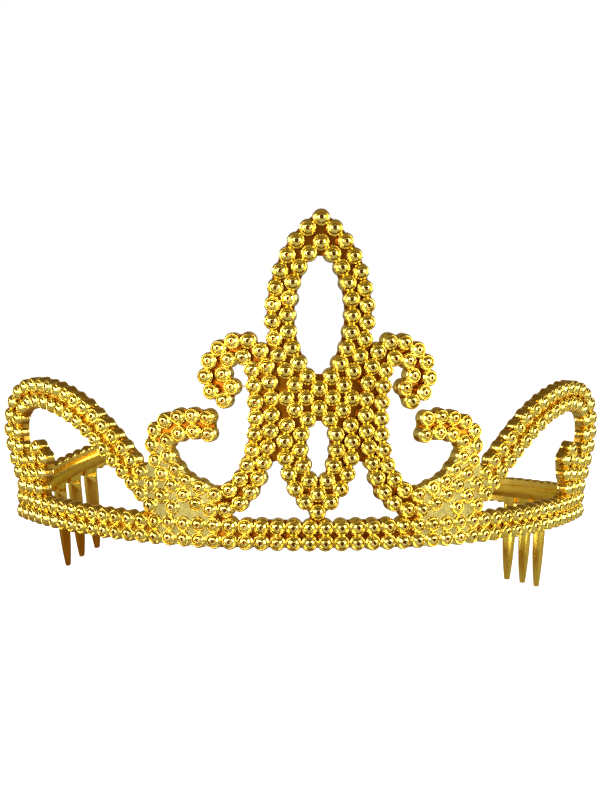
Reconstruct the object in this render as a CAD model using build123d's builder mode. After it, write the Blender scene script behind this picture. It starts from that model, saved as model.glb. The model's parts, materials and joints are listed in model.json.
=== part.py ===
"""Beaded tiara: a curved front with two side arms that fold at its corners and carry hair combs.

Frame: +Z up, the front faces -Y, X runs along the front. The origin lies on the inner face of
the band, at the middle of the front, half way up the band.
Places on the front are given as (s, z): s is the distance along the curve, measured at the
stones' tips from the middle of the front, positive to +X, and z is the height. Depth is
measured outwards from the band's inner face.
"""

import os
from math import cos, radians, sin, sqrt

from build123d import *

os.makedirs("parts", exist_ok=True)

# ---- driving dimensions, in millimetres and degrees ----

# beads: round drums in rows, each with a domed stone inside a raised ring
bead_pitch = 3.5
bead_radius = 1.55
drum_height = 0.45
ring_height = 0.75
ring_radius = 1.35
stone_radius = 1.1
bead_height = 1.1
row_gap = 3.36                  # from one bead row to the next, up the band

# section of every strand, from the inner face outwards
spine_depth = 1.0               # smooth raised strip along the inside of band and arms
spine_half_height = 1.7
rail_depth = spine_depth + 2.3  # front of the backing rail
rail_edge = 1.85                # from a bead's centre to the edge of the rail behind it
front_radius = 78.0             # plan radius at the stones' tips
tip_depth = rail_depth + bead_height
seat_radius = front_radius - tip_depth

# band
beads_per_side = 25
band_end = beads_per_side * bead_pitch
band_half_height = row_gap / 2 + rail_edge
first_row = 1.5 * row_gap       # height of the first beads above the band

# side loops: past this station they run straight on instead of following the curve
loop_straight = 70.0

# hinges at the two corners
hinge_station = band_end + 1.0
hinge_radius = 0.8
hinge_set_back = 1.2            # the band's spine stops this far short of the hinge line
hinge_tab_depth = 0.8

# arms and combs
arm_radius = 78.0               # the arms keep the curvature of the front
arm_beads = 13
arm_first_bead = 3.6            # along the arm from the hinge line
arm_start = 2.0
arm_length = arm_first_bead + (arm_beads - 1) * bead_pitch + rail_edge
arm_fold = {"right": 27.0, "left": 34.0}      # from straight on, as the object stands
arm_lift = {"right": -4.3, "left": 10.2}       # each arm sags or lifts a little on its thin hinge
tooth_columns = (5.5, 7.5, 9.5)  # the teeth hang between bead columns 5 and 6, 7 and 8, 9 and 10
tooth_proud = 0.3               # how far a tooth stands out below the bead rows
tooth_lean = 0.07               # the teeth lean towards the head by this slope
tooth_clearance = 0.08          # between the tooth heads and the underside of the bead rows
tooth_top = -band_half_height - tooth_clearance
# down a tooth: height, width, thickness at the edges, and the ridge on the side that faces the head
tooth_sections = (
    (tooth_top, 4.3, 1.2, 1.2),
    (-13.0, 4.0, 1.1, 1.1),
    (-20.0, 2.9, 0.9, 0.8),
    (-24.3, 1.5, 0.7, 0.3),
)


# ---- places on the front and on the arms ----

def plan_point(s, depth, straight_from=None):
    """Point of the front, seen from above; past straight_from it runs along the tangent."""
    on_curve = s if straight_from is None else min(s, straight_from)
    turn = on_curve / front_radius
    radius = seat_radius + depth
    along = s - on_curve
    return (radius * sin(turn) + along * cos(turn), seat_radius - radius * cos(turn) + along * sin(turn))


def station(s, z, depth, straight_from=None):
    """Plane on the front that faces outwards, with its x along the curve and its y up."""
    on_curve = s if straight_from is None else min(s, straight_from)
    turn = on_curve / front_radius
    x, y = plan_point(s, depth, straight_from)
    return Plane(origin=(x, y, z), x_dir=(cos(turn), sin(turn), 0), z_dir=(sin(turn), -cos(turn), 0))


def arm_point(t, outwards):
    """Point of an arm in its own plan, t along it from the hinge line."""
    radius = arm_radius + outwards
    return (radius * sin(t / arm_radius), arm_radius - radius * cos(t / arm_radius))


# ---- repeated shapes ----

def spaced(count, *points):
    """Evenly spaced bead centres along a smooth curve through a few points."""
    curve = Spline(*points)
    places = [curve.position_at(index / (count - 1)) for index in range(count)]
    return [(place.X, place.Y) for place in places]


def mirrored(row):
    """A row that starts and ends on the centre line, followed by its mirror image."""
    return row + [(-s, z) for s, z in reversed(row) if s > bead_radius]


def shell(near, far, z_low, z_high, inner, outer, straight_from=None):
    """A piece of the curved wall between two stations, two heights and two depths."""
    bend = far if straight_from is None else straight_from
    middle = (near + bend) / 2
    with BuildPart() as wall:
        with BuildSketch(Plane.XY.offset(z_low)):
            with BuildLine():
                Line(plan_point(near, inner), plan_point(near, outer))
                ThreePointArc(plan_point(near, outer), plan_point(middle, outer), plan_point(bend, outer))
                if far > bend:
                    Line(plan_point(bend, outer), plan_point(far, outer, bend))
                Line(plan_point(far, outer, bend), plan_point(far, inner, bend))
                if far > bend:
                    Line(plan_point(far, inner, bend), plan_point(bend, inner))
                ThreePointArc(plan_point(bend, inner), plan_point(middle, inner), plan_point(near, inner))
            make_face()
        extrude(amount=z_high - z_low)
    return wall.part


def flattened(points, tangent_at):
    """Places on the front as they fall on the plane that touches it at one station."""
    radius = seat_radius + (spine_depth + rail_depth) / 2
    flat = []
    for s, z in points:
        along = max(s - loop_straight, 0) if tangent_at == loop_straight else 0
        flat.append((radius * sin((s - along - tangent_at) / front_radius) + along, z))
    return flat


def rail(outline, holes, tangent_at, wall, cut_by):
    """Backing rail: an outline around bead centres, wrapped into the wall, short of its neighbours."""
    with BuildPart() as backing:
        with BuildSketch(station(tangent_at, 0, rail_depth)):
            with BuildLine():
                Polyline(*flattened(outline, tangent_at), close=True)
            make_face()
            offset(amount=rail_edge)
            for hole in holes:
                with BuildSketch(mode=Mode.PRIVATE) as opening:
                    with BuildLine():
                        Polyline(*flattened(hole, tangent_at), close=True)
                    make_face()
                    offset(amount=-rail_edge)
                add(opening.sketch, mode=Mode.SUBTRACT)
        extrude(amount=wall_reach, both=True)
        add(wall, mode=Mode.INTERSECT)
        for neighbour in cut_by:
            add(neighbour, mode=Mode.SUBTRACT)
    return backing.part


def finish(part, name):
    """Label a finished piece and write its file."""
    part.label = name
    export_step(part, f"parts/{name}.step")


def finish_pair(part, name):
    """Write a piece of the right side and its mirror image on the left."""
    finish(part, f"{name}_right")
    with BuildPart() as twin:
        add(mirror(part, about=Plane.YZ))
    finish(twin.part, f"{name}_left")


# ---- one bead, standing on the XY plane ----

dome_rise = bead_height - ring_height
dome_radius = (stone_radius**2 + dome_rise**2) / (2 * dome_rise)
dome_middle = (stone_radius / 2, bead_height - dome_radius + sqrt(dome_radius**2 - stone_radius**2 / 4))
with BuildPart() as bead:
    with BuildSketch(Plane.XZ):
        with BuildLine():
            Polyline(
                (0, bead_height), (0, 0), (bead_radius, 0), (bead_radius, drum_height),
                (ring_radius, ring_height), (stone_radius, ring_height),
            )
            ThreePointArc((stone_radius, ring_height), dome_middle, (0, bead_height))
        make_face()
    revolve(axis=Axis.Z)


def bead_group(planes):
    """Separate beads, one on each plane."""
    with BuildPart() as group:
        with Locations(*planes):
            add(bead.part)
    return group.part


def front_beads(places, straight_from=None):
    """Beads on the rail's front at places on the front."""
    return bead_group([station(s, z, rail_depth, straight_from) for s, z in places])


# ---- layout of the bead rows, right half of the front ----

crest_outer = spaced(14, (0, 67.5), (5.8, 61.9), (9.3, 54.2), (10.3, 46.5), (8.5, 37.8), (0, 27.4))
crest_inner = spaced(11, (0, 62.3), (4.9, 56.5), (7.0, 47.5), (5.6, 39.2), (0, 31.6))
lattice_outer = [(7.1, 29.5)] + spaced(7, (6.9, 23.7), (7.3, 18.5), (5.6, 11.4), (0, first_row))
lattice_inner = spaced(6, (2.4, 24.9), (4.0, 20.5), (3.0, 14.0), (0, 9.0))
lattice_fillers = [(5.2, 27.0)]

scroll_outer = spaced(
    20, (20.7, 28.7), (24.9, 34.0), (21.0, 40.4), (14.6, 41.2), (11.2, 35.2),
    (10.2, 26.0), (11.6, 16.5), (16.6, 6.9), (23.6, first_row),
)
scroll_inner = spaced(
    14, (19.0, 31.6), (20.9, 34.6), (19.4, 37.7), (15.8, 37.6),
    (14.2, 33.0), (13.7, 23.0), (15.4, 15.0), (19.2, 9.6), (22.6, 8.4),
)
hook_outer = spaced(11, (24.5, 24.9), (31.0, 24.8), (37.0, 21.6), (35.6, 13.1), (29.9, 8.0), (26.9, 6.2))
hook_inner = spaced(8, (24.1, 21.3), (30.1, 21.4), (34.1, 19.1), (32.2, 13.9), (26.0, 9.7))

loop_outer = spaced(
    25, (32.5, first_row), (41.2, 13.0), (48.6, 19.9), (57.3, 25.7), (67.5, 28.9),
    (77.5, 29.2), (85.6, 26.0), (88.3, 19.0), (85.8, 11.3), (82.3, first_row),
)
loop_inner = spaced(
    22, (38.0, first_row), (45.7, 12.3), (53.4, 18.4), (60.9, 22.8), (69.5, 25.2),
    (78.0, 25.4), (83.6, 22.4), (84.4, 17.0), (81.8, 10.6), (78.7, first_row),
)
bud_outer = [(76.1, 14.6), (73.2, 12.3), (73.7, 8.8), (74.9, first_row)]
bud_inner = [(78.0, 11.7), (76.9, 8.4)]

web_edge = [(25.0, 3.0), (39.5, 3.0), (41.0, 8.0), (38.0, 14.5), (35.5, 13.0), (28.0, 8.0)]

# ---- walls that the rails are cut from ----

wall_reach = 25.0               # far enough to pass through the curved wall from a tangent plane
wall_bottom = -10.0
wall_top = 75.0
middle_wall = shell(-30, 45, wall_bottom, wall_top, spine_depth, rail_depth)
loop_wall = shell(20, 100, band_half_height, wall_top, spine_depth, rail_depth, loop_straight)

# stations where each side piece's outline is laid on the curve
crest_station = 0
scroll_station = 15.0
hook_station = 30.0

# ---- band ----

band_spine = shell(
    -(hinge_station - hinge_set_back), hinge_station - hinge_set_back,
    -spine_half_height, spine_half_height, 0, spine_depth,
)
finish(band_spine, "band_spine")

band_rail = shell(-band_end, band_end, -band_half_height, band_half_height, spine_depth, rail_depth)
finish(band_rail, "band_rail")

band_stations = [(index + 0.5 - beads_per_side) * bead_pitch for index in range(2 * beads_per_side)]
finish(front_beads([(s, row_gap / 2) for s in band_stations]), "band_beads_upper")
finish(front_beads([(s, -row_gap / 2) for s in band_stations]), "band_beads_lower")

# ---- crest: a pointed almond above a small lattice almond ----

crest_ring = rail(mirrored(crest_outer), [mirrored(crest_inner)], crest_station, middle_wall, [band_rail])
lattice_hole = [(0, 27.4)] + lattice_inner
lattice_edge = lattice_outer + [(-s, z) for s, z in reversed(lattice_outer) if s > bead_radius]
lattice_ring = rail(lattice_edge, [mirrored(lattice_hole)], crest_station, middle_wall, [band_rail])
with BuildPart() as crest_rail:
    add(crest_ring)
    add(lattice_ring)
finish(crest_rail.part, "crest_rail")

crest_places = mirrored(crest_outer) + mirrored(crest_inner)
lattice_right = lattice_outer + lattice_inner + lattice_fillers
lattice_places = lattice_right + [(-s, z) for s, z in lattice_right if s > bead_radius]
finish(front_beads(crest_places + lattice_places), "crest_beads")

# ---- inner scrolls, outer hooks, side loops and buds ----

scroll_rail = rail(
    scroll_outer + list(reversed(scroll_inner)), [], scroll_station, middle_wall,
    [band_rail, crest_rail.part],
)
finish_pair(scroll_rail, "scroll_rail")
finish_pair(front_beads(scroll_outer + scroll_inner), "scroll_beads")

hook_rail = rail(
    hook_outer + list(reversed(hook_inner)), [], hook_station, middle_wall, [band_rail, scroll_rail],
)
finish_pair(hook_rail, "hook_rail")
finish_pair(front_beads(hook_outer + hook_inner), "hook_beads")

loop_rail = rail(
    loop_outer + list(reversed(loop_inner)), [], loop_straight, loop_wall, [band_rail, hook_rail],
)
finish_pair(loop_rail, "loop_rail")
finish_pair(front_beads(loop_outer + loop_inner, loop_straight), "loop_beads")

bud_rail = rail(
    bud_outer + list(reversed(bud_inner)), [], loop_straight, loop_wall, [band_rail, loop_rail],
)
finish_pair(bud_rail, "bud_rail")
finish_pair(front_beads(bud_outer + bud_inner, loop_straight), "bud_beads")

# ---- smooth web that ties hook, loop and band together at their junction ----

with BuildPart() as web_plate:
    with BuildSketch(station(hook_station, 0, rail_depth)):
        with BuildLine():
            Polyline(*flattened(web_edge, hook_station), close=True)
        make_face()
    extrude(amount=wall_reach, both=True)
    add(middle_wall, mode=Mode.INTERSECT)
    for neighbour in (band_rail, scroll_rail, hook_rail, loop_rail):
        add(neighbour, mode=Mode.SUBTRACT)
finish_pair(web_plate.part, "web_plate")

# ---- hinge: a thin upright web on the fold line, held by a tab on the band's spine ----

hinge_x, hinge_y = plan_point(hinge_station, spine_depth)
hinge_tab = shell(
    hinge_station - hinge_set_back, hinge_station, -spine_half_height, spine_half_height,
    spine_depth - hinge_tab_depth, spine_depth,
)
with BuildPart() as hinge_web:
    with BuildSketch(Plane((hinge_x, hinge_y, -band_half_height))):
        Circle(hinge_radius)
    extrude(amount=2 * band_half_height)
    add(hinge_tab)
finish_pair(hinge_web.part, "hinge_web")


# ---- arms: each is made on the right, and the left one is mirrored into place ----

def arm_base(side):
    """Plane of an arm's plan at the fold line: x along the arm, y towards the head, z up."""
    heading = hinge_station / front_radius + radians(arm_fold[side])
    lift = radians(arm_lift[side])
    along = (cos(heading) * cos(lift), sin(heading) * cos(lift), sin(lift))
    up = (-cos(heading) * sin(lift), -sin(heading) * sin(lift), cos(lift))
    return Plane(origin=(hinge_x, hinge_y, 0), x_dir=along, z_dir=up)


def arm_strip(base, half_height, inner, outer):
    """A curved strip along an arm, between two distances outwards from its middle surface."""
    near, far = arm_start, arm_length
    middle = (near + far) / 2
    with BuildPart() as strip:
        with BuildSketch(base.offset(-half_height)):
            with BuildLine():
                ThreePointArc(arm_point(near, outer), arm_point(middle, outer), arm_point(far, outer))
                Line(arm_point(far, outer), arm_point(far, inner))
                ThreePointArc(arm_point(far, inner), arm_point(middle, inner), arm_point(near, inner))
                Line(arm_point(near, inner), arm_point(near, outer))
            make_face()
        extrude(amount=2 * half_height)
    return strip.part


def arm_station(base, t, height, outwards):
    """Plane on an arm that faces outwards, with its x along the arm and its y up."""
    turn = t / arm_radius
    x, y = arm_point(t, outwards)
    face = Plane(origin=(x, y, height), x_dir=(cos(turn), sin(turn), 0), z_dir=(sin(turn), -cos(turn), 0))
    return Plane(base.location * face.location)


def comb_tooth(base, t):
    """One blunt, tapering tooth, flat outside and ridged towards the head, hung from the spine."""
    foot = arm_station(base, t, 0, 0)
    across = Plane(origin=foot.origin, x_dir=foot.x_dir, z_dir=foot.y_dir)
    head_width = tooth_sections[0][1]
    with BuildPart() as tooth:
        with BuildSketch(across.offset(tooth_top)):
            with Locations((0, (spine_depth + tooth_clearance) / 2)):
                Rectangle(head_width, spine_depth - tooth_clearance)
        extrude(amount=-spine_half_height - tooth_top)
        for height, width, thickness, ridge in tooth_sections:
            half = width / 2
            front = tooth_lean * (tooth_top - height) - tooth_proud
            back = front + thickness
            with BuildSketch(across.offset(height)):
                with BuildLine():
                    Polyline(
                        (-half, front), (half, front), (half, back), (0, back + ridge), (-half, back), close=True,
                    )
                make_face()
        loft()
    return tooth.part


for side in ("right", "left"):
    base = arm_base(side)
    places = [
        arm_station(base, arm_first_bead + index * bead_pitch, height, rail_depth - spine_depth)
        for height in (row_gap / 2, -row_gap / 2)
        for index in range(arm_beads)
    ]
    pieces = {
        "arm_rail": arm_strip(base, band_half_height, 0, rail_depth - spine_depth),
        "arm_beads": bead_group(places),
        "comb_spine": arm_strip(base, spine_half_height, -spine_depth, 0),
    }
    for number, column in enumerate(tooth_columns, start=1):
        pieces[f"comb_tooth_{number}"] = comb_tooth(base, arm_first_bead + (column - 1) * bead_pitch)
    for name, piece in pieces.items():
        if side == "left":
            with BuildPart() as twin:
                add(mirror(piece, about=Plane.YZ))
            piece = twin.part
        finish(piece, f"{name}_{side}")
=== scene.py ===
"""Looks of the beaded gold tiara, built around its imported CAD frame. Lengths are in metres."""

import json
import math
import random

import bmesh
import bpy
from mathutils import Matrix, Vector, geometry


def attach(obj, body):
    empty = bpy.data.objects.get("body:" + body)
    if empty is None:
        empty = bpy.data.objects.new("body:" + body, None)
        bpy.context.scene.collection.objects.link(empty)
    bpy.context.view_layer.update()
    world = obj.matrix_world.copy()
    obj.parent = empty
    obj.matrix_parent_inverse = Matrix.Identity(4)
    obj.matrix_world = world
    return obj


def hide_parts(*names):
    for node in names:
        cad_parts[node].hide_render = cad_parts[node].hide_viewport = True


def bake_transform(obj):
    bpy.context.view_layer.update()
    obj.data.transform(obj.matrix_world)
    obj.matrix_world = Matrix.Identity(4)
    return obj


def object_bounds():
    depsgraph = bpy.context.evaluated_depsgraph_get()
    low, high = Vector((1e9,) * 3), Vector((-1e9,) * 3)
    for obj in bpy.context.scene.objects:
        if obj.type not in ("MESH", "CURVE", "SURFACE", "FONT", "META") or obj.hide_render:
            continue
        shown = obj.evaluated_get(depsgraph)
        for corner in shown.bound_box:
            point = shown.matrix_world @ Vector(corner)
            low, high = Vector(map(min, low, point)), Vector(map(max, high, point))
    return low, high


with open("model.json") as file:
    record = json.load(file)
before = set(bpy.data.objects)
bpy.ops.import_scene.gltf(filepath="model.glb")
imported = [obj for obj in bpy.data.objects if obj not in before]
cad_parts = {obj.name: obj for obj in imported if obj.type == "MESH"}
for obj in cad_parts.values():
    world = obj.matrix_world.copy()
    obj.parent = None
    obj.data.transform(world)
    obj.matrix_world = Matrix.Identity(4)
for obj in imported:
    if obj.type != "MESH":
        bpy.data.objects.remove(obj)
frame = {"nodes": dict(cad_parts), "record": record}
cad_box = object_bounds()

MM = 0.001
WELD_DISTANCE = 0.002 * MM
Z_UP = Vector((0, 0, 1))
SIDES = ("right", "left")

# beads: heights are measured from the seat of the CAD bead, along the way that it faces
BEAD_SIDES = 24
DRUM_BACK = -2.3 * MM
TILT_SPREAD = math.radians(2.5)     # moulded beads don't all face quite the same way

# backing that fills the spaces between the drums of a strand
BACKING_FRONT = -1.5 * MM
LOOP_FRONT = -0.7 * MM
HOOK_FRONT = -0.5 * MM
BAND_FRONT = -0.7 * MM
WEB_FRONT = 0.22 * MM
BAND_CREST_HALF = 30.0 * MM         # the band is open between its rows under the crest, and dark there with full painted shade
BACKING_BACK = DRUM_BACK - 0.1 * MM     # covers the backs of drums that lean
BACKING_RIM = 1.35 * MM             # how far it reaches past the outermost bead centres

# how much painted shade browns the backing beside loops and band; elsewhere the backing takes full painted
# shade
LOOP_PAINTED_SHADE = 0.45
BAND_PAINTED_SHADE = 0.4

# beads round a circle smaller than this are tied together, in each kind of place
BACKING_SPAN = 2.62 * MM
CROWDED_SPAN = 3.6 * MM
LOOP_SPAN = 4.5 * MM
BUD_SPAN = 3.0 * MM
WEB_SPAN = 8.0 * MM

# plan of the front, as in the CAD model
TIP_RADIUS = 78.0 * MM
INNER_RADIUS = 73.6 * MM
rng = random.Random(11)


# ---- materials ----

# painted shade: the brown that gaps, grooves, pits and drum walls are blended into, in place of shade and
# gold-on-gold reflections
PAINTED_SHADE_BROWN = (0.26, 0.082, 0.004)
EDGE_GOLD = (1.0, 0.78, 0.34)       # metal seen at a glancing angle
# painted reflection: the web's front is painted a dull khaki, as the even light it reflects looks, while
# its back keeps the gold
WEB_PAINTED_REFLECTION_KHAKI = (0.56, 0.455, 0.12)
BACK_GOLDS = ((0.88, 0.60, 0.095), (0.82, 0.52, 0.06))
LACQUER_ROUGHNESS = 0.06
TINT_SCALE = 260.0
GLOSS_SCALE = 900.0


def gold(name, light, deep, roughness, grain, dent, stretch=(1, 1, 1), painted_shade_colour=None, lacquer=0.0):
    """Metallised plastic: two golds that drift into each other, uneven gloss and a moulded skin.

    With a colour for painted shade given, a mesh's attribute of painted shade blends the gold into that
    colour.
    """
    material = bpy.data.materials.new(name)
    material.use_nodes = True
    tree = material.node_tree
    link = tree.links.new
    shader = tree.nodes["Principled BSDF"]

    def noise(scale, detail):
        node = tree.nodes.new("ShaderNodeTexNoise")
        node.inputs["Scale"].default_value = scale
        node.inputs["Detail"].default_value = detail
        link(place.outputs["Vector"], node.inputs["Vector"])
        return node.outputs["Fac"]

    where = tree.nodes.new("ShaderNodeTexCoord")
    place = tree.nodes.new("ShaderNodeMapping")
    place.inputs["Scale"].default_value = stretch
    link(where.outputs["Object"], place.inputs["Vector"])

    tint = tree.nodes.new("ShaderNodeValToRGB")
    low, high = tint.color_ramp.elements
    low.position, low.color = 0.32, (*deep, 1)
    high.position, high.color = 0.60, (*light, 1)
    link(noise(TINT_SCALE, 3.0), tint.inputs["Fac"])
    colour = tint.outputs["Color"]
    # painted shade: the gold is blended towards a darker colour by the mesh's attribute of painted shade
    if painted_shade_colour:
        painted_shade_mask = tree.nodes.new("ShaderNodeAttribute")
        painted_shade_mask.attribute_name = "painted_shade_mask"
        mix = tree.nodes.new("ShaderNodeMix")
        mix.data_type = "RGBA"
        mix.inputs["B"].default_value = (*painted_shade_colour, 1)
        link(painted_shade_mask.outputs["Fac"], mix.inputs["Factor"])
        link(colour, mix.inputs["A"])
        colour = mix.outputs["Result"]
    link(colour, shader.inputs["Base Color"])

    gloss = tree.nodes.new("ShaderNodeMapRange")
    gloss.inputs["To Min"].default_value = roughness * 0.6
    gloss.inputs["To Max"].default_value = roughness * 1.5
    link(noise(GLOSS_SCALE, 4.0), gloss.inputs["Value"])
    link(gloss.outputs["Result"], shader.inputs["Roughness"])

    bump = tree.nodes.new("ShaderNodeBump")
    bump.inputs["Distance"].default_value = dent
    link(noise(grain, 3.0), bump.inputs["Height"])
    link(bump.outputs["Normal"], shader.inputs["Normal"])
    shader.inputs["Metallic"].default_value = 1.0
    shader.inputs["Specular Tint"].default_value = (*EDGE_GOLD, 1)
    shader.inputs["Coat Weight"].default_value = lacquer
    shader.inputs["Coat Roughness"].default_value = LACQUER_ROUGHNESS
    return material


BEAD_GOLD = gold(
    "bead_gold", (1.0, 0.82, 0.18), (0.96, 0.72, 0.10), 0.12, 700.0, 0.00005,
    painted_shade_colour=PAINTED_SHADE_BROWN, lacquer=0.4,
)
BACKING_GOLD = gold("backing_gold", *BACK_GOLDS, 0.27, 500.0, 0.00004, painted_shade_colour=PAINTED_SHADE_BROWN)
SPINE_GOLD = gold("spine_gold", (0.92, 0.59, 0.07), (0.78, 0.44, 0.03), 0.15, 250.0, 0.00003, (1, 1, 3))
WEB_GOLD = gold("web_gold", *BACK_GOLDS, 0.24, 500.0, 0.000015, painted_shade_colour=WEB_PAINTED_REFLECTION_KHAKI)
COMB_GOLD = gold("comb_gold", (0.94, 0.66, 0.085), (0.76, 0.46, 0.035), 0.13, 220.0, 0.00006, (3, 3, 0.5))


# ---- helpers ----

def new_piece(name, mesh, material, body, slot, *cad_nodes):
    """A finished piece that is shown in place of some CAD nodes and moves with a body."""
    piece = bpy.data.objects.new(name, mesh)
    bpy.context.scene.collection.objects.link(piece)
    mesh.materials.append(material)
    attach(piece, body)
    if cad_nodes:
        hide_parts(*cad_nodes)
    return piece


def inside(outline, s, z):
    """Whether a place lies inside a closed outline."""
    crossings = 0
    for (s1, z1), (s2, z2) in zip(outline, outline[1:] + outline[:1]):
        if (z1 > z) != (z2 > z) and s < s1 + (z - z1) * (s2 - s1) / (z2 - z1):
            crossings += 1
    return crossings % 2 == 1


# ---- bead seats, read from the CAD bead groups ----

class Seat:
    """Where one bead stands: its base centre, the way it faces, and the strand's up direction."""

    def __init__(self, centre, axis, strand):
        self.centre = centre
        self.axis = axis
        self.strand = strand
        self.level = BACKING_FRONT
        self.painted_shade = 1.0            # painted shade: how far the backing beside the bead is browned
        self.up = Z_UP

    @property
    def tangent(self):
        return self.up.cross(self.axis).normalized()

    def point(self, along, upwards, height):
        return self.centre + self.tangent * along + self.up * upwards + self.axis * height


def seats_of(node):
    """The seat of each separate bead in a CAD bead group: the middle of its largest flat face."""
    mesh = bmesh.new()
    mesh.from_mesh(frame["nodes"][node].data)
    bmesh.ops.remove_doubles(mesh, verts=mesh.verts, dist=WELD_DISTANCE)
    mesh.faces.ensure_lookup_table()
    seen = set()
    seats = []
    for first in mesh.faces:
        if first in seen:
            continue
        seen.add(first)
        queue = [first]
        flats = {}
        while queue:
            face = queue.pop()
            key = tuple(round(part, 1) for part in face.normal)
            area = face.calc_area()
            total = flats.setdefault(key, [0.0, Vector(), Vector()])
            total[0] += area
            total[1] += face.calc_center_median() * area
            total[2] += face.normal * area
            for edge in face.edges:
                for other in edge.link_faces:
                    if other not in seen:
                        seen.add(other)
                        queue.append(other)
        area, moment, normal = max(flats.values(), key=lambda total: total[0])
        seats.append(Seat(moment / area, -normal.normalized(), node))
    mesh.free()
    return seats


# ---- drums: the detailed bead ----

def arc(centre_h, centre_r, radius, start, end, steps):
    """Points of an arc in the bead's section, by angle from the outward side towards the front."""
    points = []
    for step in range(steps + 1):
        angle = math.radians(start + (end - start) * step / steps)
        points.append((centre_h + radius * math.sin(angle), centre_r + radius * math.cos(angle)))
    return points


def bead_section():
    """Half section of a bead: pit, faceted stone, groove, raised ring, round shoulder, deep drum.

    Each row is (height, radius, painted shade), from the pit at the tip to the back of the drum; the
    painted shade darkens the pit, the groove and the drum walls.
    """
    # painted shade: the pit is painted dark brown for a dark spot at the apex, the groove and the drum
    # walls browner
    pit = [(0.42, 0.0, 1.0), (0.46, 0.24, 1.0), (1.02, 0.40, 0.9)]
    stone = [(1.04, 0.50, 0.0), (0.95, 0.76, 0.0), (0.76, 1.02, 0.0), (0.52, 1.24, 0.05)]
    groove = [(0.40, 1.29, 0.8), (0.44, 1.34, 0.7)]
    ring = [(h, r, 0.0) for h, r in arc(0.58, 1.43, 0.08, 160, -10, 5)]
    shoulder = [(h, r, 0.16) for h, r in arc(0.04, 1.44, 0.37, 72, 5, 4)]
    drum = [
        (-0.6, 1.83, 0.3), (-1.4, 1.86, 0.35), (-2.1, 1.91, 0.25), (-2.24, 1.8, 0.1), (-2.27, 0.0, 0.0),
    ]
    return [(h * MM, r * MM, shade) for h, r, shade in pit + stone + groove + ring + shoulder + drum]


STONE_RINGS = (3, 4, 5, 6)      # rows of the section that belong to the faceted stone
STONE_FACETS = 8
SECTION = bead_section()


def facet_pull(angle):
    """How far a stone's side is pulled in at an angle, so that its outline has flat facets."""
    wedge = 2 * math.pi / STONE_FACETS
    offset = angle % wedge - wedge / 2
    return math.cos(wedge / 2) / math.cos(offset)


def bead_mesh(name, seats):
    """One mesh with a detailed bead on each seat."""
    verts, faces, shades, flat = [], [], [], []
    for seat in seats:
        spin = rng.uniform(0, 2 * math.pi)
        lean = seat.tangent * rng.gauss(0, TILT_SPREAD) + seat.up * rng.gauss(0, TILT_SPREAD)
        axis = (seat.axis + lean).normalized()
        across = seat.up.cross(axis).normalized()
        along = axis.cross(across)
        size = rng.uniform(0.985, 1.015)
        rows = []
        for level, (height, radius, shade) in enumerate(SECTION):
            count = BEAD_SIDES if radius > 0 else 1
            rows.append(range(len(verts), len(verts) + count))
            stone = level in STONE_RINGS
            for side in range(count):
                angle = 2 * math.pi * side / BEAD_SIDES
                reach = radius * size * (facet_pull(angle) if stone else 1)
                way = across * math.cos(angle + spin) + along * math.sin(angle + spin)
                verts.append(seat.centre + axis * height + way * reach)
                shades.append(shade)
        for level, (upper, lower) in enumerate(zip(rows, rows[1:])):
            for side in range(BEAD_SIDES):
                after = (side + 1) % BEAD_SIDES
                if len(upper) == 1:
                    face = (upper[0], lower[side], lower[after])
                elif len(lower) == 1:
                    face = (upper[side], lower[0], upper[after])
                else:
                    face = (upper[side], lower[side], lower[after], upper[after])
                faces.append(face)
                flat.append(level in STONE_RINGS[:-1])
    mesh = bpy.data.meshes.new(name)
    mesh.from_pydata(verts, [], faces)
    mesh.polygons.foreach_set("use_smooth", [not cut for cut in flat])
    mesh.set_sharp_from_angle(angle=math.radians(60))
    # painted shade per vertex, from the section
    painted_shade_mask = mesh.attributes.new("painted_shade_mask", "FLOAT", "POINT")
    painted_shade_mask.data.foreach_set("value", shades)
    mesh.update()
    return mesh


# ---- backing: fills the spaces between neighbouring drums ----

def circle_radius(a, b, c):
    """Radius of the circle through three places."""
    area = abs((b - a).cross(c - a)) / 2
    return (a - b).length * (b - c).length * (c - a).length / (4 * area) if area > 1e-12 else 1.0


def ties(places, keep):
    """Triangles between neighbouring places, anticlockwise as seen from outside."""
    triangles = geometry.delaunay_2d_cdt(places, [], [], 0, 1e-7)[2]
    kept = []
    for triangle in triangles:
        a, b, c = (places[index] for index in triangle)
        if keep(triangle, circle_radius(a, b, c)):
            turn = (b - a).cross(c - a)
            kept.append(tuple(triangle) if turn > 0 else tuple(reversed(triangle)))
    return kept


def rim_corner(before, after, reach):
    """Offsets round one corner of a boundary, from the sides' directions."""
    first = Vector((before.y, -before.x))
    last = Vector((after.y, -after.x))
    middle = (first + last).normalized()
    if before.cross(after) < -0.7:
        return [middle * (0.4 * reach)]
    if before.cross(after) < 0.1:
        return [middle * (reach / max(middle.dot(first), 0.6))]
    return [first * reach, middle * reach, last * reach]


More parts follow.
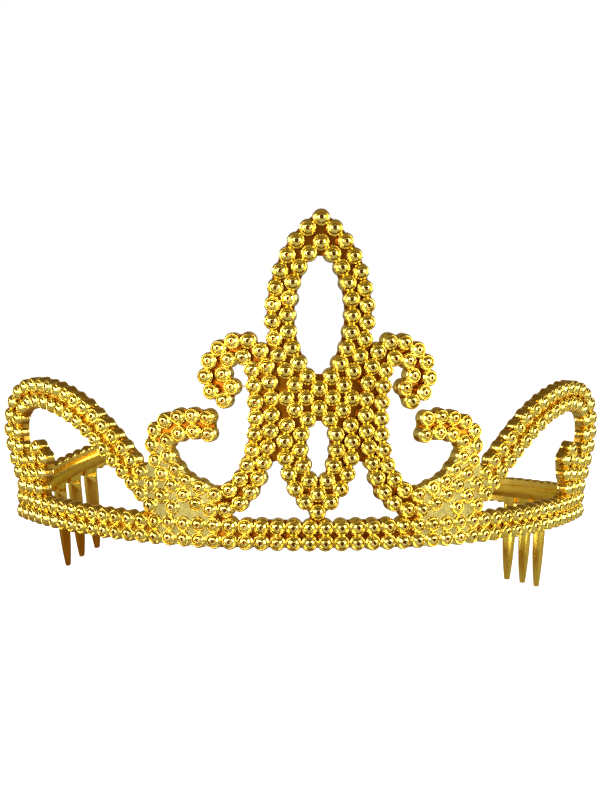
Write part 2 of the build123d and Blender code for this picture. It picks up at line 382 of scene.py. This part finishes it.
def slabs(seats, places, triangles, owner):
    """Closed slabs between the seats, one mesh for each owner that the triangles are given to."""
    side_of = {}
    for index, triangle in enumerate(triangles):
        for start, end in zip(triangle, triangle[1:] + triangle[:1]):
            side_of[start, end] = index
    faces = {}
    for index, triangle in enumerate(triangles):
        faces.setdefault(owner[index], []).append([(corner, 0, 0) for corner in triangle])
    spots = {}

    def next_side(start, end):
        """The boundary side that follows start-end, found by turning round end inside the slab."""
        triangle = triangles[side_of[start, end]]
        onward = triangle[(triangle.index(end) + 1) % 3]
        while (onward, end) in side_of:
            triangle = triangles[side_of[onward, end]]
            onward = triangle[(triangle.index(end) + 1) % 3]
        return end, onward

    borders = [side for side in side_of if (side[1], side[0]) not in side_of]
    first_rim, last_rim = {}, {}
    for start, end in borders:
        onward = next_side(start, end)
        before = (places[end] - places[start]).normalized()
        after = (places[onward[1]] - places[end]).normalized()
        keys = []
        for number, offset in enumerate(rim_corner(before, after, BACKING_RIM)):
            key = (end, start + 1, number)
            spots[key] = offset
            keys.append(key)
        first_rim[start, end] = keys[0]
        last_rim[onward] = keys[-1]
        corner = faces[owner[side_of[start, end]]]
        for one, two in zip(keys, keys[1:]):
            corner.append([(end, 0, 0), one, two])
    for start, end in borders:
        border = faces[owner[side_of[start, end]]]
        border.append([(start, 0, 0), last_rim[start, end], first_rim[start, end], (end, 0, 0)])

    meshes = {}
    for name, polygons in faces.items():
        verts, index_of, shell, shades = [], {}, [], []

        def vertex(key, front):
            if (key, front) not in index_of:
                seat = seats[key[0]]
                along, upwards = spots.get(key, (0, 0))
                index_of[key, front] = len(verts)
                verts.append(seat.point(along, upwards, seat.level if front else BACKING_BACK))
                # painted shade on the front face (khaki on the web); the back keeps the plain gold
                shades.append(seat.painted_shade if front else 0.0)
            return index_of[key, front]

        open_sides = {}
        for polygon in polygons:
            shell.append([vertex(key, True) for key in polygon])
            shell.append([vertex(key, False) for key in reversed(polygon)])
            for one, two in zip(polygon, polygon[1:] + polygon[:1]):
                open_sides[one, two] = True
        for one, two in list(open_sides):
            if (two, one) not in open_sides:
                shell.append([vertex(one, True), vertex(one, False), vertex(two, False), vertex(two, True)])
        mesh = bpy.data.meshes.new(name)
        mesh.from_pydata(verts, [], shell)
        mesh.shade_smooth()
        mesh.set_sharp_from_angle(angle=math.radians(40))
        # painted shade per vertex: front faces as the seats give, backs none
        painted_shade_mask = mesh.attributes.new("painted_shade_mask", "FLOAT", "POINT")
        painted_shade_mask.data.foreach_set("value", shades)
        meshes[name] = mesh
    return meshes


# ---- the front ----

# smooth web between hook, loop and band on the right, as (along the front, height) in mm
WEB_OUTLINE = [
    (17.5, -2.6), (39.5, -2.6), (40.0, 4.0), (44.5, 11.0), (42.0, 16.5), (38.5, 20.5),
    (34.5, 22.5), (31.5, 18.0), (33.0, 14.5), (28.0, 10.6), (21.5, 9.0), (20.5, 4.0),
]

# places where the strands crowd together and the front is closed between them
CROWDED_OUTLINES = [
    [(-5.5, 59.0), (5.5, 59.0), (0.5, 69.0), (-0.5, 69.0)],
    [
        (5.5, 23.0), (11.0, 20.0), (12.5, 30.0), (12.5, 38.0),
        (7.5, 41.0), (3.5, 32.5), (-0.5, 30.0), (-0.5, 25.5),
    ],
]

front_nodes = ["band_beads_upper", "band_beads_lower", "crest_beads"]
front_nodes += [f"{name}_beads_{side}" for name in ("scroll", "hook", "loop", "bud") for side in SIDES]


def unrolled(seat):
    """A front seat's place along the curve and up, with the straight ends of the loops laid on."""
    turn = math.atan2(seat.axis.x, -seat.axis.y)
    middle = Vector((0, INNER_RADIUS, 0))
    return Vector((TIP_RADIUS * turn + (seat.centre - middle).dot(seat.tangent), seat.centre.z))


front_seats = []
for node in front_nodes:
    seats = seats_of(node)
    front_seats += seats
    name = node.replace("beads", "drums")
    new_piece(name, bead_mesh(name, seats), BEAD_GOLD, "front", "gold_beads", node)

front_places = [unrolled(seat) for seat in front_seats]
in_web = [inside(WEB_OUTLINE, abs(place.x) / MM, place.y / MM) for place in front_places]
# each front place gets its backing depth and how much painted shade browns it
for seat, place, webbed in zip(front_seats, front_places, in_web):
    if webbed:
        seat.level = WEB_FRONT
    elif seat.strand.startswith("hook"):
        seat.level = HOOK_FRONT
    elif seat.strand.startswith(("loop", "bud")):
        seat.level = LOOP_FRONT
        seat.painted_shade = LOOP_PAINTED_SHADE
    elif seat.strand.startswith("band") and abs(place.x) > BAND_CREST_HALF:
        seat.level = BAND_FRONT
        seat.painted_shade = BAND_PAINTED_SHADE


def front_tie(triangle, radius):
    """Whether the front is closed between three beads."""
    if all(in_web[index] for index in triangle):
        return radius < WEB_SPAN
    strands = [front_seats[index].strand for index in triangle]
    if all(strand.startswith("loop") for strand in strands):
        return radius < LOOP_SPAN
    if all(strand.startswith(("loop", "bud")) for strand in strands):
        return radius < BUD_SPAN
    middle = sum((front_places[index] for index in triangle), Vector((0, 0))) / 3
    crowded = any(inside(outline, abs(middle.x) / MM, middle.y / MM) for outline in CROWDED_OUTLINES)
    return radius < (CROWDED_SPAN if crowded else BACKING_SPAN)


def front_owner(triangle):
    """Name of the piece that closes the front between three beads."""
    if all(in_web[index] for index in triangle):
        return "web_right" if front_places[triangle[0]].x > 0 else "web_left"
    strand = front_seats[max(triangle)].strand
    return strand.replace("beads", "backing").replace("_upper", "").replace("_lower", "")


front_triangles = ties(front_places, front_tie)
front_owners = [front_owner(triangle) for triangle in front_triangles]
for name, mesh in slabs(front_seats, front_places, front_triangles, front_owners).items():
    if name.startswith("web"):
        new_piece(name, mesh, WEB_GOLD, "front", "gold_web", name.replace("web", "web_plate"))
    else:
        new_piece(name, mesh, BACKING_GOLD, "front", "gold_rail", name.replace("backing", "rail"))


# ---- arms ----

arm_seats = {}
for side in SIDES:
    body = f"{side}_arm"
    seats = seats_of(f"arm_beads_{side}")
    arm_seats[side] = seats
    ordered = sorted(seats, key=lambda seat: seat.centre.y)
    up = ordered[0].axis.cross(ordered[-1].axis).normalized()
    up = up if up.z > 0 else -up
    for seat in seats:
        seat.up = up
    middle_axis = sum((seat.axis for seat in seats), Vector()).normalized()
    across = up.cross(middle_axis)
    places = [Vector((seat.centre.dot(across), seat.centre.dot(up))) for seat in seats]
    name = f"arm_drums_{side}"
    new_piece(name, bead_mesh(name, seats), BEAD_GOLD, body, "gold_beads", f"arm_beads_{side}")
    triangles = ties(places, lambda triangle, radius: radius < BACKING_SPAN)
    name = f"arm_backing_{side}"
    mesh = slabs(seats, places, triangles, [name] * len(triangles))[name]
    new_piece(name, mesh, BACKING_GOLD, body, "gold_rail", f"arm_rail_{side}")


# ---- thin film that bends at each corner, between the band and an arm ----

FILM_INSET = 2.8 * MM           # from the bead seats to the middle of the film
FILM_HALF = 0.25 * MM
FILM_HALF_HEIGHT = 1.6 * MM
FILM_OVERLAP = 1.0 * MM
FILM_STEPS = 10
FILM_SECTION = ((-1, -0.9), (-0.6, -1), (0.6, -1), (1, -0.9), (1, 0.9), (0.6, 1), (-0.6, 1), (-1, 0.9))


def hinge_film(side, band_seats, arm_seats):
    """A living hinge: a flat film that runs from the band's end, past the fold line, to the arm."""
    joint = next(row for row in frame["record"]["behaviour"]["joints"] if row["child"] == f"{side}_arm")
    hinge = Vector(joint["pos_m"])
    corners = []
    for seats in (band_seats, arm_seats):
        near = sorted(seats, key=lambda seat: (seat.centre - hinge).length)[:4]
        middle = sum((seat.centre for seat in near[:2]), Vector()) / 2
        beyond = sum((seat.centre for seat in near[2:]), Vector()) / 2
        towards = (middle - beyond).normalized()
        corners.append(middle - near[0].axis * FILM_INSET + towards * FILM_OVERLAP)
    start, end = corners
    path = []
    for step in range(FILM_STEPS + 1):
        share = step / FILM_STEPS
        path.append(start * (1 - share) ** 2 + hinge * 2 * share * (1 - share) + end * share ** 2)
    film = bmesh.new()
    rings = []
    for step, point in enumerate(path):
        ahead = path[min(step + 1, FILM_STEPS)] - path[max(step - 1, 0)]
        share = step / FILM_STEPS
        up = band_seats[0].up.lerp(arm_seats[0].up, share).normalized()
        out = ahead.cross(up).normalized()
        ring = []
        for half, rise in FILM_SECTION:
            ring.append(film.verts.new(point + out * half * FILM_HALF + up * rise * FILM_HALF_HEIGHT))
        rings.append(ring)
    for one, two in zip(rings, rings[1:]):
        for index in range(len(one)):
            after = (index + 1) % len(one)
            film.faces.new((one[index], one[after], two[after], two[index]))
    film.faces.new(reversed(rings[0]))
    film.faces.new(rings[-1])
    bmesh.ops.recalc_face_normals(film, faces=film.faces)
    mesh = bpy.data.meshes.new(f"hinge_film_{side}")
    film.to_mesh(mesh)
    film.free()
    mesh.shade_smooth()
    mesh.set_sharp_from_angle(angle=math.radians(50))
    mesh.materials.append(SPINE_GOLD)
    piece = bpy.data.objects.new(f"hinge_film_{side}", mesh)
    bpy.context.scene.collection.objects.link(piece)
    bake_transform(piece)


band_seats = [seat for seat in front_seats if seat.strand.startswith("band")]
for side in SIDES:
    hinge_film(side, band_seats, arm_seats[side])


# ---- small pointed moulding nibs across the gap of each scroll ----

NIB_ENDS = ((19.0, 31.6), (13.9, 31.0))     # scroll beads that face each other, as (along, height) in mm
NIB_FOOT = 1.7 * MM             # from the bead's centre to the foot of the nib
NIB_LENGTH = 0.8 * MM
NIB_RADIUS = 0.38 * MM
NIB_HEIGHT = -0.3 * MM
NIB_SIDES = 8


def nibs(side):
    """Two little cones that point at each other across the gap of a scroll."""
    sign = 1 if side == "right" else -1
    ends = []
    for along, height in NIB_ENDS:
        place = Vector((sign * along * MM, height * MM))
        nearest = min(range(len(front_seats)), key=lambda index: (front_places[index] - place).length)
        ends.append(front_seats[nearest])
    cones = bmesh.new()
    for seat, other in (ends, reversed(ends)):
        way = (other.centre - seat.centre).normalized()
        foot = seat.point(0, 0, NIB_HEIGHT) + way * NIB_FOOT
        frame_turn = way.to_track_quat("Z", "Y").to_matrix()
        tip = cones.verts.new(foot + way * NIB_LENGTH)
        waist, base = [], []
        for number in range(NIB_SIDES):
            angle = 2 * math.pi * number / NIB_SIDES
            spoke = frame_turn @ Vector((math.cos(angle), math.sin(angle), 0))
            waist.append(cones.verts.new(foot + way * 0.4 * NIB_LENGTH + spoke * 0.5 * NIB_RADIUS))
            base.append(cones.verts.new(foot + spoke * NIB_RADIUS))
        for number in range(NIB_SIDES):
            after = (number + 1) % NIB_SIDES
            cones.faces.new((tip, waist[number], waist[after]))
            cones.faces.new((waist[number], base[number], base[after], waist[after]))
        cones.faces.new(base)
    bmesh.ops.recalc_face_normals(cones, faces=cones.faces)
    mesh = bpy.data.meshes.new(f"scroll_nibs_{side}")
    cones.to_mesh(mesh)
    cones.free()
    mesh.shade_smooth()
    new_piece(mesh.name, mesh, COMB_GOLD, "front", "gold_beads")


for side in SIDES:
    nibs(side)


# ---- CAD nodes that stay: welded, softened along their edges and painted ----

def soften(node, material, width):
    """Rounds a CAD node's edges a little and gives it its finish."""
    piece = frame["nodes"][node]
    weld = piece.modifiers.new("weld", "WELD")
    weld.merge_threshold = WELD_DISTANCE
    bevel = piece.modifiers.new("bevel", "BEVEL")
    bevel.width = width
    bevel.segments = 2
    bevel.limit_method = "ANGLE"
    bevel.angle_limit = math.radians(28)
    bevel.harden_normals = False
    for slot in piece.material_slots:
        slot.material = material


EDGE_WIDTH = 0.15 * MM
HINGE_EDGE_WIDTH = 0.12 * MM

soften("band_spine", SPINE_GOLD, EDGE_WIDTH)
for side in SIDES:
    soften(f"hinge_web_{side}", SPINE_GOLD, HINGE_EDGE_WIDTH)
    soften(f"comb_spine_{side}", SPINE_GOLD, EDGE_WIDTH)
    for number in (1, 2, 3):
        soften(f"comb_tooth_{number}_{side}", COMB_GOLD, EDGE_WIDTH)


# ---- floor, light and camera ----

def build_floor():
    """A wide pale floor at the tips of the comb teeth.

    What the gold reflects of it is a painted glow, dimmer than what the camera sees: it fades behind the
    object, and between the arms it carries a painted shadow, tinted warm as painted bounce light from the
    gold.
    """
    size = 3.0
    mesh = bpy.data.meshes.new("floor")
    z = cad_box[0][2] - 0.2 * MM
    corners = [(-size, -size, z), (size, -size, z), (size, size, z), (-size, size, z)]
    mesh.from_pydata(corners, [], [(0, 1, 2, 3)])
    floor = bpy.data.objects.new("floor", mesh)
    bpy.context.scene.collection.objects.link(floor)
    paint = bpy.data.materials.new("floor_white")
    paint.use_nodes = True
    tree = paint.node_tree
    link = tree.links.new
    shader = tree.nodes["Principled BSDF"]
    shader.inputs["Base Color"].default_value = (0.9, 0.9, 0.9, 1)
    shader.inputs["Roughness"].default_value = 0.9
    shader.inputs["Specular IOR Level"].default_value = 0.0
    glow = tree.nodes.new("ShaderNodeEmission")
    glow.inputs["Strength"].default_value = 0.93
    seen = tree.nodes.new("ShaderNodeAddShader")
    link(shader.outputs["BSDF"], seen.inputs[0])
    link(glow.outputs["Emission"], seen.inputs[1])
    # painted glow for what the gold reflects: it fades behind the object
    dim = tree.nodes.new("ShaderNodeEmission")
    where = tree.nodes.new("ShaderNodeTexCoord")
    slant = tree.nodes.new("ShaderNodeVectorMath")
    slant.operation = "DOT_PRODUCT"
    slant.inputs[1].default_value = (0.8, 1.0, 0.0)
    link(where.outputs["Object"], slant.inputs[0])
    fade = tree.nodes.new("ShaderNodeMapRange")
    fade.inputs["From Max"].default_value = 0.45
    fade.inputs["To Min"].default_value = 0.50
    fade.inputs["To Max"].default_value = 0.20
    link(slant.outputs["Value"], fade.inputs["Value"])
    # painted shadow: close to the object, between the arms, the reflected floor is darker and tinted warm
    # as painted gold bounce light
    near = tree.nodes.new("ShaderNodeVectorMath")
    near.operation = "DISTANCE"
    near.inputs[1].default_value = (-0.04, 0.065, z)
    link(where.outputs["Object"], near.inputs[0])
    apart = tree.nodes.new("ShaderNodeMapRange")
    apart.inputs["From Min"].default_value = 0.03
    apart.inputs["From Max"].default_value = 0.12
    link(near.outputs["Value"], apart.inputs["Value"])
    tint = tree.nodes.new("ShaderNodeValToRGB")
    tint.color_ramp.elements[0].color = (0.42, 0.20, 0.05, 1)
    tint.color_ramp.elements[1].color = (1, 1, 1, 1)
    link(apart.outputs["Result"], tint.inputs["Fac"])
    link(tint.outputs["Color"], dim.inputs["Color"])
    link(fade.outputs["Result"], dim.inputs["Strength"])
    path = tree.nodes.new("ShaderNodeLightPath")
    mix = tree.nodes.new("ShaderNodeMixShader")
    link(path.outputs["Is Camera Ray"], mix.inputs["Fac"])
    link(dim.outputs["Emission"], mix.inputs[1])
    link(seen.outputs["Shader"], mix.inputs[2])
    link(mix.outputs["Shader"], tree.nodes["Material Output"].inputs["Surface"])
    mesh.materials.append(paint)


def softbox(name, place, aim, width, height, power):
    """A rectangular area light that looks at a point."""
    light = bpy.data.lights.new(name, "AREA")
    light.shape = "RECTANGLE"
    light.size = width
    light.size_y = height
    light.energy = power
    lamp = bpy.data.objects.new(name, light)
    bpy.context.scene.collection.objects.link(lamp)
    lamp.location = place
    lamp.rotation_euler = (Vector(aim) - Vector(place)).to_track_quat("-Z", "Y").to_euler()


def build_world():
    """A pale studio: grey round the horizon, dim and warm overhead, white to the camera."""
    world = bpy.data.worlds.new("studio")
    bpy.context.scene.world = world
    world.use_nodes = True
    tree = world.node_tree
    link = tree.links.new
    output = tree.nodes["World Output"]
    seen = tree.nodes["Background"]
    seen.inputs["Color"].default_value = (1, 1, 1, 1)
    seen.inputs["Strength"].default_value = 1.0
    lit = tree.nodes.new("ShaderNodeBackground")
    where = tree.nodes.new("ShaderNodeTexCoord")
    parts = tree.nodes.new("ShaderNodeSeparateXYZ")
    link(where.outputs["Generated"], parts.inputs["Vector"])
    height = tree.nodes.new("ShaderNodeValToRGB")
    height.color_ramp.elements[0].position = 0.50
    height.color_ramp.elements[0].color = (0.50, 0.49, 0.47, 1)
    height.color_ramp.elements[1].position = 0.84
    height.color_ramp.elements[1].color = (0.17, 0.11, 0.05, 1)
    half = tree.nodes.new("ShaderNodeMapRange")
    half.inputs["From Min"].default_value = -1.0
    link(parts.outputs["Z"], half.inputs["Value"])
    link(half.outputs["Result"], height.inputs["Fac"])
    link(height.outputs["Color"], lit.inputs["Color"])
    path = tree.nodes.new("ShaderNodeLightPath")
    mix = tree.nodes.new("ShaderNodeMixShader")
    link(path.outputs["Is Camera Ray"], mix.inputs["Fac"])
    link(lit.outputs["Background"], mix.inputs[1])
    link(seen.outputs["Background"], mix.inputs[2])
    link(mix.outputs["Shader"], output.inputs["Surface"])


def build_camera():
    """The viewing angle: a little above the band, turned slightly to the right and down."""
    yaw, pitch, roll = 0.0646, -0.0874, 0.0105
    ahead = Vector((math.sin(yaw) * math.cos(pitch), math.cos(yaw) * math.cos(pitch), math.sin(pitch)))
    level = Vector((math.cos(yaw), -math.sin(yaw), 0))
    upright = level.cross(ahead)
    right = level * math.cos(roll) + upright * math.sin(roll)
    above = upright * math.cos(roll) - level * math.sin(roll)
    lens = bpy.data.cameras.new("camera")
    lens.lens = 59.47
    lens.clip_start = 0.01
    camera = bpy.data.objects.new("camera", lens)
    bpy.context.scene.collection.objects.link(camera)
    turn = Matrix((right, above, -ahead)).transposed().to_4x4()
    camera.matrix_world = Matrix.Translation((-0.02206, -0.28126, 0.05347)) @ turn
    bpy.context.scene.camera = camera


build_floor()
build_world()
softbox("key", (-0.46, -0.62, 0.14), (0, 0, 0.02), 0.50, 0.42, 4.6)
softbox("broad_right", (0.75, -0.55, 0.18), (0, 0.02, 0.02), 0.6, 0.6, 9.0)
softbox("fill_left", (-0.95, 0.0, 0.12), (0, 0.03, 0.02), 0.4, 0.5, 6.5)
softbox("fill_right", (0.95, 0.25, 0.12), (0, 0.03, 0.02), 0.4, 0.5, 3.0)
build_camera()
bpy.context.scene.view_settings.view_transform = "Standard"
